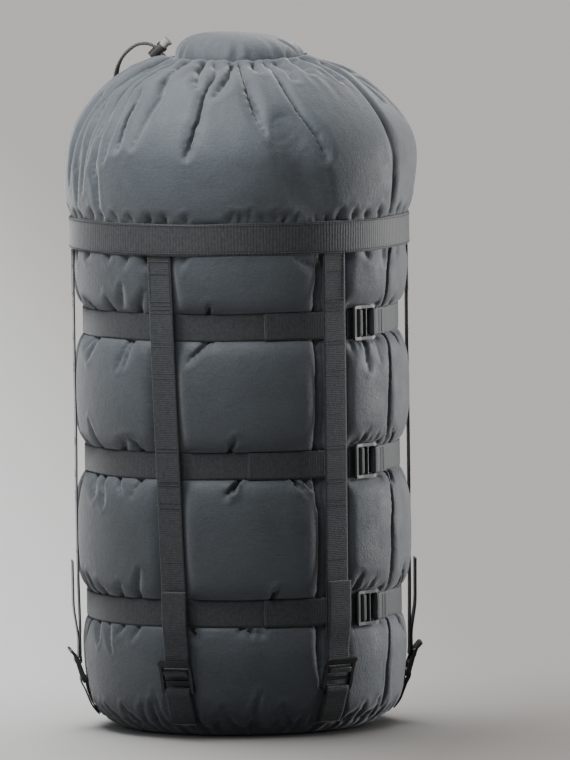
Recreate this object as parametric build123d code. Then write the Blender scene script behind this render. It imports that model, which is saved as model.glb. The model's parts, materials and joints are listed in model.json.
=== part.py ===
"""Compression stuff sack, packed full and standing on its round base.

Frame: origin on the ground at the middle of the base, +Z up, -Y is the front.  Millimetres.
Azimuths are measured round the sack from the front (-Y) towards +X.
"""
from build123d import *
from math import atan2, cos, hypot, radians, sin, tan
import os

# ---------------------------------------------------------------- driving dimensions
CLOTH = 1.2                 # nylon pack cloth with its turned seams
CLEAR = 0.3                 # gap left between soft pieces that only touch
LOAD_SKIN = CLOTH + CLEAR   # the packed bag lies this far inside the sack's outer face

BASE_R = 104.0              # flat part of the base
CORNER_R = 46.0             # round of the bottom corner
WAIST_R = 148.0             # under each horizontal strap
BULGE_R = 156.8             # between the straps
BAND_SEAM_Z = 472.0         # the collar is sewn to the lower sack behind the band
BAND_R = 156.9

WEB_W = 25.0                # one-inch webbing
WEB_T = 1.5
STRAP_R = 158.45            # middle of a vertical strap's thickness, taut over the bulges
STRAP_TOP_Z = 482.0
STRAP_FOOT_R = 156.9        # where it enters the ladder lock
RING_R = WAIST_R + CLEAR + WEB_T / 2

BAND_Z0, BAND_Z1 = 457.0, 487.0
BAND_T = 1.5

RING_Z = {"top": 388.5, "middle": 258.0, "bottom": 119.0}
TAIL_END_AZ = {"top": 4.5, "middle": -2.2, "bottom": 3.0}
# azimuths of the vertical straps at their ladder locks, and of those that lean at the band
VERTICAL_AZ = {
    "front_left": -28.0, "front_right": 29.5, "right": 90.0,
    "rear_right": 150.0, "rear_left": -150.0, "left": -90.0,
}
STRAP_TOP_AZ = {"front_left": -33.0, "front_right": 30.0}
VERTICAL_TAIL_Z = {
    "front_left": 135.0, "front_right": 142.0, "right": 149.0,
    "rear_right": 138.0, "rear_left": 146.0, "left": 152.0,
}

# ladder lock, in its own frame: u from the anchor bar to the thumb tab, v across, w outwards
LOCK_W = 32.6
RAIL_T = 3.0
ANCHOR_BAR_R = 1.8
BAR_R = 1.5
BAR_1_U, GRIP_BAR_U = 10.0, 19.0
TAB_U0, TAB_U1 = 24.5, 33.0
LOCK_CORNER_R = 5.0
VERTICAL_LOCK_Z = 46.0      # height of the vertical locks' anchor bars
VERTICAL_LOCK_R = 153.9
VERTICAL_LOCK_LEAN = 17.0   # the tab leans out by this much
RING_LOCK_AZ = 50.5         # azimuth of the horizontal locks' anchor bars
RING_LOCK_R = 152.35
RING_LOCK_TURN = 5.5        # the lock lies along the chord of the round sack
RING_STUB_AZ = 59.0         # the anchor webbing is sewn down here

MOUTH_R = 66.0              # centre line of the gathered drawcord channel
MOUTH_Z = 630.0
HEM_R = 5.0
FLAP_R = 60.3
FLAP_TOP_Z = 660.0

CORD_D = 3.0
BARREL_R = 5.4              # cord lock barrel
PLUNGER_R = 4.0
PLUNGER_OUT = 7.5

# ---------------------------------------------------------------- helpers


def at_azimuth(part, az):
    """A piece drawn in the XZ plane at +X, turned to an azimuth."""
    return part.rotate(Axis.Z, az - 90.0)


def ring_band(r_in, thick, z0, z1, az0=0.0, az1=360.0):
    """A flat band round the sack, from az0 to az1."""
    face = Face(Wire(Polyline((r_in, 0, z0), (r_in + thick, 0, z0), (r_in + thick, 0, z1),
                              (r_in, 0, z1), close=True).edges()))
    return at_azimuth(revolve(face, Axis.Z, az1 - az0), az0)


def ribbon(route, radii, thick=WEB_T, width=WEB_W):
    """Webbing along a flat route of (a, b) points in the XZ plane, rounded at each corner."""
    sides = []
    for side in (1.0, -1.0):
        pts, arcs = [], []
        for i, (a, b) in enumerate(route):
            before = route[i - 1] if i else None
            after = route[i + 1] if i + 1 < len(route) else None
            dirs = []
            for p, q in ((before, (a, b)), ((a, b), after)):
                if p and q:
                    length = hypot(q[0] - p[0], q[1] - p[1])
                    dirs.append(((q[0] - p[0]) / length, (q[1] - p[1]) / length))
            (ux, uy), (vx, vy) = dirs[0], dirs[-1]
            turn = atan2(ux * vy - uy * vx, ux * vx + uy * vy)
            nx, ny = -(uy + vy), ux + vx
            scale = side * thick / 2 / cos(turn / 2) / hypot(nx, ny)
            pts.append((a + nx * scale, 0, b + ny * scale))
            if len(dirs) == 2:
                arcs.append(radii[i - 1] - side * (1 if turn > 0 else -1) * thick / 2)
        sides.append((pts, arcs))
    edges = []
    for pts, arcs in sides:
        line = FilletPolyline(*pts, radius=arcs) if arcs else Polyline(*pts)
        edges += line.edges()
    for end in (0, -1):
        edges.append(Edge.make_line(sides[0][0][end], sides[1][0][end]))
    face = Face(Wire(edges))
    return extrude(face, width / 2, dir=(0, 1, 0), both=True)


def write(name, part):
    part.label = name
    export_step(part, f"parts/{name}.step")


# ---------------------------------------------------------------- cloth body
corner_z = CORNER_R
corner_mid = (BASE_R + CORNER_R * sin(radians(22.5)), 0, corner_z - CORNER_R * cos(radians(22.5)))
seam_pt = (BASE_R + CORNER_R * sin(radians(45)), 0, corner_z - CORNER_R * cos(radians(45)))
corner_mid2 = (BASE_R + CORNER_R * sin(radians(67.5)), 0, corner_z - CORNER_R * cos(radians(67.5)))
corner_top = (BASE_R + CORNER_R, 0, corner_z)

WAIST_HALF = 15.0
COLLAR = [(BAND_R, BAND_SEAM_Z), (157.4, 488), (164.6, 522), (164.0, 548), (157.0, 567),
          (149.0, 581), (138.0, 595), (121.0, 609.5), (100.0, 621), (85.0, 626), (71.6, 628.6)]


def wall_profile(inset):
    """Outer (inset 0) or an inner line of the lower sack, from the bottom seam up to the band."""
    def p(r, z):
        return (r - inset, 0, z)
    k = (CORNER_R - inset) / CORNER_R
    def c(pt):
        return (BASE_R + (pt[0] - BASE_R) * k, 0, corner_z + (pt[2] - corner_z) * k)
    zs = [RING_Z["bottom"], RING_Z["middle"], RING_Z["top"]]
    edges = [ThreePointArc(c(seam_pt), c(corner_mid2), c(corner_top)).edge(),
             ThreePointArc(c(corner_top), p(151.4, 75), p(WAIST_R, zs[0] - WAIST_HALF)).edge()]
    for i, z in enumerate(zs):
        edges.append(Line(p(WAIST_R, z - WAIST_HALF), p(WAIST_R, z + WAIST_HALF)).edge())
        top = z + WAIST_HALF
        if i < 2:
            nxt = zs[i + 1] - WAIST_HALF
            edges.append(ThreePointArc(p(WAIST_R, top), p(BULGE_R, (top + nxt) / 2),
                                       p(WAIST_R, nxt)).edge())
        else:
            edges.append(ThreePointArc(p(WAIST_R, top), p(154.4, 432), p(BAND_R, BAND_SEAM_Z)).edge())
    return edges


def collar_points(inset):
    """The collar's line, moved inwards square to itself."""
    out = []
    for i, (r, z) in enumerate(COLLAR):
        r0, z0 = COLLAR[max(i - 1, 0)]
        r1, z1 = COLLAR[min(i + 1, len(COLLAR) - 1)]
        n = hypot(r1 - r0, z1 - z0)
        out.append((r - inset * (z1 - z0) / n, 0, z + inset * (r1 - r0) / n))
    out[0] = (BAND_R - inset, 0, BAND_SEAM_Z)
    return out


def revolve_loop(edges):
    return revolve(Face(Wire(edges)), Axis.Z)


def shell(outer, inner):
    """Revolve the wall between two lines that run the same way."""
    a0, a1 = outer[0] @ 0, outer[-1] @ 1
    b0, b1 = inner[0] @ 0, inner[-1] @ 1
    return revolve_loop(outer + inner + [Edge.make_line(a0, b0), Edge.make_line(a1, b1)])


os.makedirs("parts", exist_ok=True)

lower_sack = shell(wall_profile(0), wall_profile(CLOTH))
write("lower_sack", lower_sack)

collar = shell([Spline(*collar_points(0)).edge()], [Spline(*collar_points(CLOTH)).edge()])
write("collar", collar)

k_in = (CORNER_R - CLOTH) / CORNER_R
base_out = [Line((0, 0, 0), (BASE_R, 0, 0)).edge(),
            ThreePointArc((BASE_R, 0, 0), corner_mid, seam_pt).edge()]
base_in = [Line((0, 0, CLOTH), (BASE_R, 0, CLOTH)).edge(),
           ThreePointArc((BASE_R, 0, CLOTH),
                         (BASE_R + (corner_mid[0] - BASE_R) * k_in, 0,
                          corner_z + (corner_mid[2] - corner_z) * k_in),
                         (BASE_R + (seam_pt[0] - BASE_R) * k_in, 0,
                          corner_z + (seam_pt[2] - corner_z) * k_in)).edge()]
bottom_panel = shell(base_out, base_in)
write("bottom_panel", bottom_panel)

# storm flap: a loose cap of cloth over the load, under the drawn-up mouth
def dome(inset):
    pts = [(FLAP_R - inset, 0, 631), (55.5 - inset, 0, 641.0 - inset * 0.4),
           (42 - inset * 0.6, 0, 651.0 - inset * 0.8), (22, 0, 658.2 - inset),
           (0, 0, FLAP_TOP_Z - inset)]
    return Spline(*pts, tangents=[(0, 0, 1), (-1, 0, 0)]).edge()


flap_out = [Line((FLAP_R, 0, 625.2), (FLAP_R, 0, 631)).edge(),
            dome(0)]
flap_in = [Line((FLAP_R - 1, 0, 625.2), (FLAP_R - 1, 0, 631)).edge(),
           dome(1.0)]
storm_flap = shell(flap_out, flap_in)
write("storm_flap", storm_flap)

# the load: one packed sleeping bag that fills the sack to its skin
k_load = (CORNER_R - LOAD_SKIN) / CORNER_R
low = [Line((0, 0, LOAD_SKIN), (BASE_R, 0, LOAD_SKIN)).edge(),
       ThreePointArc((BASE_R, 0, LOAD_SKIN),
                     (BASE_R + (corner_mid[0] - BASE_R) * k_load, 0,
                      corner_z + (corner_mid[2] - corner_z) * k_load),
                     (BASE_R + (seam_pt[0] - BASE_R) * k_load, 0,
                      corner_z + (seam_pt[2] - corner_z) * k_load)).edge()]
up = wall_profile(LOAD_SKIN)
skirt = collar_points(LOAD_SKIN)[:-2]
shoulder = [Spline(*skirt).edge()]
neck_r = FLAP_R - 1 - CLEAR
neck = [Line(skirt[-1], (74, 0, 624)).edge(), Line((74, 0, 624), (neck_r, 0, 624)).edge(),
        Line((neck_r, 0, 624), (neck_r, 0, 631)).edge(), dome(1.0 + CLEAR),
        Line((0, 0, FLAP_TOP_Z - 1.0 - CLEAR), (0, 0, LOAD_SKIN)).edge()]
packed_sleeping_bag = revolve_loop(low + up + shoulder + neck)
write("packed_sleeping_bag", packed_sleeping_bag)

# drawcord channel round the mouth, with the cord running inside it
hem = Torus(MOUTH_R, HEM_R) - Torus(MOUTH_R, 2.2)
mouth_hem = Pos(0, 0, MOUTH_Z) * hem
write("mouth_hem", mouth_hem)
write("drawcord_in_hem", Pos(0, 0, MOUTH_Z) * Torus(MOUTH_R, CORD_D / 2))

# ---------------------------------------------------------------- webbing sewn to the sack
band_in = hypot(STRAP_R + WEB_T / 2, WEB_W / 2) + 0.25      # clears the flat straps' edges
write("top_band", ring_band(band_in, BAND_T, BAND_Z0, BAND_Z1))



def strap_section(r, az, z):
    """A level cut through a vertical strap."""
    t, w = WEB_T / 2, WEB_W / 2
    return at_azimuth(Face(Wire(Polyline((r - t, -w, z), (r + t, -w, z), (r + t, w, z),
                                         (r - t, w, z), close=True).edges())), az)


for side, az in VERTICAL_AZ.items():
    top_az = STRAP_TOP_AZ.get(side, az)
    mid_az = az + (top_az - az) * (188.0 - 71.5) / (STRAP_TOP_Z - 71.5)
    write(f"vertical_strap_{side}", loft([strap_section(STRAP_FOOT_R, az, 71.5),
                                          strap_section(STRAP_R, mid_az, 188.0),
                                          strap_section(STRAP_R, top_az, STRAP_TOP_Z)], ruled=True))


# ---------------------------------------------------------------- ladder locks
def ladder_lock():
    """Ladder lock at the origin: u along +Z, v along Y, w along +X, anchor bar at u = 0."""
    rail_profile = [(-3.0, -1.0), (-1.8, -2.2), (1.5, -2.4), (8.0, -1.9), (22.0, -1.2),
                    (TAB_U0 + 0.5, 0.3), (TAB_U1 - 1.0, 3.2), (TAB_U1, 5.0), (TAB_U1 - 1.6, 5.7),
                    (TAB_U0 + 1.0, 2.7), (18.0, 2.2), (3.0, 2.4), (-1.8, 2.0), (-3.0, 0.8)]
    rail_face = Face(Wire(Polyline(*[(w, 0, u) for u, w in rail_profile], close=True).edges()))
    rail = extrude(rail_face, RAIL_T / 2, dir=(0, 1, 0), both=True)
    y = LOCK_W / 2 - RAIL_T / 2
    body = Pos(0, y, 0) * rail + Pos(0, -y, 0) * rail
    for u, r in ((0.0, ANCHOR_BAR_R), (BAR_1_U, BAR_R), (GRIP_BAR_U, BAR_R)):
        body += Pos(0, 0, u) * Rot(90, 0, 0) * Cylinder(r, LOCK_W - RAIL_T)
    tab_profile = [(TAB_U0, 0.3), (TAB_U1 - 1.0, 3.2), (TAB_U1, 5.0), (TAB_U1 - 1.6, 5.7),
                   (TAB_U0 + 0.6, 2.6), (TAB_U0 - 0.3, 1.8)]
    tab_face = Face(Wire(Polyline(*[(w, 0, u) for u, w in tab_profile], close=True).edges()))
    body += extrude(tab_face, LOCK_W / 2 - RAIL_T / 2, dir=(0, 1, 0), both=True)
    # rounded corners, seen from the front
    v, u0, u1 = LOCK_W / 2, -3.2, TAB_U1 + 0.1
    outline = FilletPolyline((0, -v, u0), (0, v, u0), (0, v, u1), (0, -v, u1), radius=LOCK_CORNER_R, close=True)
    return body & extrude(Face(Wire(outline.edges())), 12.0, dir=(1, 0, 0), both=True)


def place_vertical(part, az):
    """From the lock's frame to a vertical lock, leaning out."""
    leaned = part.rotate(Axis.Y, VERTICAL_LOCK_LEAN)
    return at_azimuth(leaned.translate((VERTICAL_LOCK_R, 0, VERTICAL_LOCK_Z)), az)


def round_corner(rho, below):
    """A point outside the bottom corner, this many degrees below level."""
    return (BASE_R + rho * cos(radians(below)), CORNER_R - rho * sin(radians(below)))


def around(r, az):
    """A point at a radius and azimuth, in the lock's frame before it is turned."""
    d = radians(az - RING_LOCK_AZ)
    return (r * cos(d) - RING_LOCK_R, -r * sin(d))


def place_ring(part, z, turn=RING_LOCK_TURN):
    """From the lock's frame to a horizontal lock: u runs back towards the front."""
    laid = part.rotate(Axis.X, 90.0).rotate(Axis.Z, -turn)
    return at_azimuth(laid.translate((RING_LOCK_R, 0, z)), RING_LOCK_AZ)


lock = ladder_lock()
slant = tan(radians(VERTICAL_LOCK_LEAN))
under = BAR_R + 0.25 + WEB_T / 2         # webbing's middle below the grip bar's middle
layer = WEB_T + 0.2                      # from the strap's middle to the tail's

# vertical straps: the wrap round the grip bar goes on as the free tail, up outside the strap
for side, az in VERTICAL_AZ.items():
    c, s = cos(radians(VERTICAL_LOCK_LEAN)), sin(radians(VERTICAL_LOCK_LEAN))
    far = (VERTICAL_TAIL_Z[side] - VERTICAL_LOCK_Z) / c
    tail = [(-under - slant * 6.0, 25.0), (-under - 0.1, 16.5), (under, 16.5), (under, 21.2),
            (-under + layer - slant * 3.4, 22.4), (-under + layer - slant * 21.0, 40.0),
            (-under + layer - slant * (far * 0.55 - 22.0) + 1.2, far * 0.62),
            (-under + layer - slant * (far - 20.0) + 4.6, far)]
    wrap = ribbon(tail, [2.3, 2.3, 1.8, 1.2, 60.0, 90.0])
    write(f"vertical_tail_{side}", place_vertical(wrap, az))
    write(f"vertical_lock_{side}", place_vertical(lock, az))
    # anchor webbing: looped round the anchor bar, its two ends sewn into the bottom seam
    loop_r = ANCHOR_BAR_R + 0.3 + WEB_T / 2
    x, z = VERTICAL_LOCK_R, VERTICAL_LOCK_Z
    anchor = ribbon([round_corner(47.05, 42), round_corner(47.9, 31), round_corner(47.9, 10),
                     (x - loop_r, z + loop_r), (x + loop_r, z + loop_r), (x + loop_r, z - 2.5),
                     (152.95, 36.5), round_corner(49.7, 31), round_corner(48.8, 42)],
                    [41.0, 38.0, 2.6, 2.6, 8.0, 12.0, 38.0])
    write(f"vertical_anchor_{side}", at_azimuth(anchor, az))

# horizontal straps: once round the sack, then through the lock and back as the tail
for level, z in RING_Z.items():
    z0, z1 = z - WEB_W / 2, z + WEB_W / 2
    write(f"horizontal_strap_{level}",
          ring_band(RING_R - WEB_T / 2, WEB_T, z0, z1, RING_STUB_AZ, 360.0 + 40.7))
    tail_r = RING_R + layer
    write(f"horizontal_tail_{level}",
          ring_band(tail_r - WEB_T / 2, WEB_T, z0, z1, TAIL_END_AZ[level], 37.9))
    wrap = ribbon([(-under - 0.4, 25.2), (-under, 16.5), (under, 16.5), (under, 21.2),
                   (-under + layer, 22.6), (-under + layer - 0.7, 33.0)], [2.3, 2.3, 1.8, 1.2])
    write(f"horizontal_wrap_{level}", place_ring(wrap, z))
    write(f"horizontal_lock_{level}", place_ring(lock, z))
    # anchor webbing: looped round the anchor bar and sewn down beside it, two layers deep
    loop_r = ANCHOR_BAR_R + 0.3 + WEB_T / 2
    stub = ribbon([around(RING_R, RING_STUB_AZ - 0.3), around(RING_R + 0.2, 54.5),
                   (-loop_r, loop_r), (loop_r, loop_r), (loop_r, -3.0),
                   around(RING_R + layer + 0.3, 53.8), around(RING_R + layer, RING_STUB_AZ - 0.3)],
                  [60.0, 2.6, 2.6, 5.0, 8.0])
    write(f"horizontal_anchor_{level}", place_ring(stub, z, 0.0))

# ---------------------------------------------------------------- cord lock and drawcord
LOCK_AZ = -109.0            # where the drawcord leaves the channel
BEND_R, BEND_Z = 91.0, 628.2    # centre of the cord's bend beyond the lock, in that plane
LOCK_TILT = 46.0            # the cord rises through the lock at this angle
LOCK_AT = (76.6, 642.1)     # middle of the cord hole


def in_lock_plane(part):
    """A piece drawn upright at the origin (barrel along +Z, cord hole along +X) put on the cord."""
    tipped = part.rotate(Axis.Y, -LOCK_TILT)
    return at_azimuth(tipped.translate((LOCK_AT[0], 0, LOCK_AT[1])), LOCK_AZ)


# hollow barrel, closed below; the sprung plunger pinches the cords until it is pressed
BORE_FLOOR, BARREL_TOP, PLUNGER_FOOT = -8.2, 5.8, -3.6
PRESS = 2.8                 # plunger travel
hole_half = 2.6
barrel_floor = BORE_FLOOR - 1.0
barrel = Pos(0, 0, (barrel_floor + BARREL_TOP) / 2) * Cylinder(BARREL_R, BARREL_TOP - barrel_floor)
barrel -= Pos(0, 0, BORE_FLOOR + 10) * Cylinder(PLUNGER_R + 0.2, 20.0)
barrel -= Box(2 * BARREL_R + 2, 7.6, 2 * hole_half)
write("cord_lock_body", in_lock_plane(barrel))

knob_z = BARREL_TOP + PLUNGER_OUT - 2.0
plunger = Pos(0, 0, (PLUNGER_FOOT + knob_z) / 2) * Cylinder(PLUNGER_R, knob_z - PLUNGER_FOOT)
plunger -= Pos(0, 0, PRESS / 2) * Box(2 * PLUNGER_R + 2, 7.4, 2 * hole_half + PRESS)
plunger += Pos(0, 0, knob_z + 1.0) * Cylinder(BARREL_R - 0.4, 2.0)
write("cord_lock_plunger", in_lock_plane(plunger))

# plunger spring: a light coil with flattened quarter turns
SPRING_WIRE, SPRING_R, SPRING_STEPS = 0.4, 2.7, 11
z_low, z_high = BORE_FLOOR + 0.25, PLUNGER_FOOT - 0.25
coil = [Vector(SPRING_R * cos(radians(90 * i)), SPRING_R * sin(radians(90 * i)),
               z_low + (z_high - z_low) * i / SPRING_STEPS) for i in range(SPRING_STEPS + 1)]
coil_line = FilletPolyline(*coil, radius=1.6)
spring = sweep(Plane(origin=coil_line @ 0, z_dir=coil_line % 0) * Circle(SPRING_WIRE / 2),
               path=coil_line)
write("cord_lock_spring", in_lock_plane(spring))

# Drawcord ends: hand-laid routes from the channel through the lock, over the left shoulder
# and down the sack's back-left side to one knot.
FRONT_END = [(-65.71, 20.82, 634.0), (-70.01, 22.24, 639.3), (-74.97, 23.91, 644.7),
             (-80.94, 26.10, 647.8), (-87.50, 28.41, 648.5), (-93.83, 30.88, 646.8),
             (-99.30, 33.99, 642.8), (-105.91, 39.48, 636.0), (-111.58, 50.30, 624.4),
             (-113.10, 71.07, 608.0), (-112.13, 102.55, 588.4), (-112.63, 126.17, 556.0),
             (-113.12, 130.57, 518.0), (-111.67, 130.67, 478.0), (-111.81, 129.07, 440.0),
             (-109.37, 129.98, 404.0)]
BACK_END = [(-65.39, 24.23, 634.0), (-69.69, 25.65, 639.3), (-74.65, 27.32, 644.7),
            (-80.63, 29.51, 647.8), (-87.19, 31.82, 648.5), (-93.49, 34.39, 646.9),
            (-98.95, 37.59, 643.2), (-105.49, 44.30, 636.4), (-109.93, 57.10, 624.0),
            (-109.86, 79.58, 606.0), (-106.85, 111.04, 587.4), (-105.45, 133.03, 554.0),
            (-104.56, 138.16, 516.0), (-103.99, 137.01, 476.0), (-102.73, 137.16, 438.0),
            (-105.47, 133.85, 404.0)]


def cord(name, route):
    """A round cord of straight runs joined by arcs as large as the runs allow."""
    pts = [Vector(*p) for p in route]
    radii = []
    for a, b, c in zip(pts, pts[1:], pts[2:]):
        half = radians((b - a).get_angle(c - b)) / 2
        radii.append(0.45 * min((b - a).length, (c - b).length) / tan(half))
    line = FilletPolyline(*pts, radius=radii)
    tube = sweep(Plane(origin=line @ 0, z_dir=line % 0) * Circle(CORD_D / 2), path=line)
    ideal = 3.14159265 * CORD_D ** 2 / 4 * line.length
    print(name, "radii", [round(r, 1) for r in radii], "length", round(line.length, 1),
          "volume / ideal", round(tube.volume / ideal, 4))
    write(name, tube)
    return line


front_line = cord("drawcord_end_front", FRONT_END)
back_line = cord("drawcord_end_back", BACK_END)

# both ends are tied together in one overhand knot, with two short tips below it
foot = ((front_line @ 1) + (back_line @ 1)) * 0.5
knot = Pos(foot.X, foot.Y, foot.Z - 4.5) * Sphere(6.2)
knot += Pos(foot.X, foot.Y, foot.Z - 13.0) * Cylinder(2.6, 10.0)
write("drawcord_knot", knot)
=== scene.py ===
"""Compression stuff sack: cloth, webbing, ladder locks, drawcord and cord lock."""
import json
import math

import bmesh
import bpy
import numpy as np
from mathutils import Matrix, Vector

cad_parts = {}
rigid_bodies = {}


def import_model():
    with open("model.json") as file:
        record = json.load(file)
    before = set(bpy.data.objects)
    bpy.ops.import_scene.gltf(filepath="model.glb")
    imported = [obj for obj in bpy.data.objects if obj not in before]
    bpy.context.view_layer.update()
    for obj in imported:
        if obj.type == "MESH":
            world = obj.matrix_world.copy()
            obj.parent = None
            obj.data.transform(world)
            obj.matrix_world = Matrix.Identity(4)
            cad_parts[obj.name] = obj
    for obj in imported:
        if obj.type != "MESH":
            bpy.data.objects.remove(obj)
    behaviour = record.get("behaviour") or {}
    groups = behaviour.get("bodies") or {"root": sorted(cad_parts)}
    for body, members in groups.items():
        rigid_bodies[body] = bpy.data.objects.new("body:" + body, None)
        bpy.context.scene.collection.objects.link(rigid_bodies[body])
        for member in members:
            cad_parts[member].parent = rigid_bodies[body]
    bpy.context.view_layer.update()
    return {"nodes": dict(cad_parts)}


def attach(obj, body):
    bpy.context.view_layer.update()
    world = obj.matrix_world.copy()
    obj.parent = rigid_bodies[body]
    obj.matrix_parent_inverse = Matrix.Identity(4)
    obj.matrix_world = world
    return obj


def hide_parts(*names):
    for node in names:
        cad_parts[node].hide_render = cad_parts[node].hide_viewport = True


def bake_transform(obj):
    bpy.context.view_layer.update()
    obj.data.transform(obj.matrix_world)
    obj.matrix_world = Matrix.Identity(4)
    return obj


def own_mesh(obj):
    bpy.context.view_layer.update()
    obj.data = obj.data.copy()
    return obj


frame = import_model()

MM = 0.001
rng = np.random.default_rng(11)
NODES = frame["nodes"]

VERTICAL_AZ = {"front_left": -28.0, "front_right": 29.5, "right": 90.0,
               "rear_right": 150.0, "rear_left": -150.0, "left": -90.0}
STRAP_TOP_AZ = {"front_left": -33.0, "front_right": 30.0}
VERTICAL_TAIL_Z = {"front_left": 135.0, "front_right": 142.0, "right": 149.0,
                   "rear_right": 138.0, "rear_left": 146.0, "left": 152.0}
RING_Z = {"top": 388.5, "middle": 258.0, "bottom": 119.0}
TAIL_END_AZ = {"top": 4.5, "middle": -2.2, "bottom": 3.0}
WEB_W, WEB_T = 25.0, 1.5
STRAP_LOW, STRAP_HIGH, BAND_Z, WAIST_R = 71.5, 482.0, 472.0, 148.0
CORNER_R, CORNER_BEND = 104.0, 46.0    # centre and radius of the bend at the bottom


def polar(r, az, z):
    """A point at a radius, azimuth (degrees from the front towards +X) and height."""
    a = math.radians(az)
    return Vector((r * math.sin(a), -r * math.cos(a), z))


def strap_az(side, z):
    """Azimuth of a vertical strap's middle at a height; two of them lean a little."""
    az = VERTICAL_AZ[side]
    t = np.clip((z - STRAP_LOW) / (STRAP_HIGH - STRAP_LOW), 0.0, 1.0)
    return az + (STRAP_TOP_AZ.get(side, az) - az) * t


def apart(a, b):
    """Signed angle from b to a in degrees, between -180 and 180."""
    return (a - b + 180.0) % 360.0 - 180.0


def around(r, az, z):
    """Points round the axis from radii, azimuths in radians and heights (mm)."""
    return np.stack(np.broadcast_arrays(r * np.sin(az), -r * np.cos(az), z), -1)


def link(ob):
    """Put a new object in the scene."""
    bpy.context.scene.collection.objects.link(ob)
    return ob


# ---- camera
cam = link(bpy.data.objects.new("camera", bpy.data.cameras.new("camera")))
CAM_AZ, CAM_EL, CAM_ROLL = map(math.radians, (-4.0, 4.4, -0.8))
CAM_DIST, LENS_PER_METRE, CAM_AIM = 12.0, 49.86, Vector((0, 0, 0.328))


def direction(az, el):
    """Unit vector towards an azimuth and elevation, in radians."""
    return Vector((math.sin(az) * math.cos(el), -math.cos(az) * math.cos(el), math.sin(el)))


cam.data.lens = CAM_DIST * LENS_PER_METRE
cam.data.shift_x = 0.0575
cam.data.clip_end = 200.0
back = direction(CAM_AZ, CAM_EL)
cam.location = CAM_AIM + back * CAM_DIST
roll = Matrix.Rotation(CAM_ROLL, 3, "Z").to_quaternion()
cam.rotation_euler = (back.to_track_quat("Z", "Y") @ roll).to_euler()
bpy.context.scene.camera = cam


# ---- mesh helpers (mm in, metres out)
def mesh_object(name, verts, faces, mat, uvs=None, smooth=True):
    """A mesh piece. uvs, if given, has one (u, v) for each corner of each face."""
    me = bpy.data.meshes.new(name)
    me.from_pydata((np.asarray(verts, float) * MM).tolist(), [], faces)
    if uvs is not None:
        layer = me.uv_layers.new(name="UVMap")
        layer.data.foreach_set("uv", np.asarray(uvs, np.float32).ravel())
    me.polygons.foreach_set("use_smooth", [smooth] * len(me.polygons))
    me.materials.append(mat)
    me.update()
    return link(bpy.data.objects.new(name, me))


def grid_faces(rows, cols, wrap):
    """Quads of a grid of points and, for each corner, its row and unwrapped column."""
    n = cols if wrap else cols - 1
    i, j = np.meshgrid(np.arange(rows - 1), np.arange(n), indexing="ij")
    i, j = i.ravel(), j.ravel()
    ii = np.stack([i, i, i + 1, i + 1], 1)
    jj = np.stack([j, j + 1, j + 1, j], 1)
    return ii * cols + jj % cols, ii, jj


def grid_object(name, pts, mat, wrap=True, u_of=None, v_of=None):
    """A sheet from a (rows, cols, 3) grid; u_of and v_of give texture lengths in metres."""
    rows, cols = pts.shape[:2]
    faces, ii, jj = grid_faces(rows, cols, wrap)
    uvs = None
    if u_of is not None:
        uvs = np.stack([u_of[jj], v_of[ii]], -1)
    return mesh_object(name, pts.reshape(-1, 3), faces.tolist(), mat, uvs)


def fill_holes(ob, near=None):
    """Close the open edges of a mesh, or only those within a distance of its origin."""
    bm = bmesh.new()
    bm.from_mesh(ob.data)
    bmesh.ops.holes_fill(bm, edges=[e for e in bm.edges if e.is_boundary and (
        near is None or all(v.co.length < near for v in e.verts))])
    bm.to_mesh(ob.data)
    bm.free()


def declare(piece, body, slot, *nodes):
    """Say which body a piece rides on and the CAD nodes it stands for; slot is not used."""
    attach(piece, body)
    if nodes:
        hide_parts(*nodes)
    return piece


def rounded(points, radii, step=1.2):
    """A flat or space polyline with its corners rounded, sampled into points."""
    pts = [Vector(p) for p in points]
    out = [pts[0]]
    for a, b, c, r in zip(pts, pts[1:], pts[2:], radii):
        d0, d1 = (b - a).normalized(), (c - b).normalized()
        turn = d0.angle(d1)
        if turn < 1e-3:
            out.append(b)
            continue
        back = min(r * math.tan(turn / 2), 0.49 * (b - a).length, 0.49 * (c - b).length)
        p, q = b - d0 * back, b + d1 * back
        n = max(3, int(turn / 0.22))
        out += [p.lerp(b, t / n).lerp(b.lerp(q, t / n), t / n) for t in range(n + 1)]
    out.append(pts[-1])
    fine = [out[0]]
    for p in out[1:]:
        gap = (p - fine[-1]).length
        if gap < 1e-4:
            continue
        k = max(1, int(gap / (step * 6)))
        fine += [fine[-1].lerp(p, t / k) for t in range(1, k + 1)]
    return fine


UPPER = [(-0.5, 0.0), (-0.488, 0.32), (-0.46, 0.47), (-0.40, 0.5), (-0.2, 0.5), (0.0, 0.5),
         (0.2, 0.5), (0.40, 0.5), (0.46, 0.47), (0.488, 0.32)]
SECTION = UPPER + [(-x, -y) for x, y in UPPER]    # a strap's section in widths and thicknesses


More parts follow.
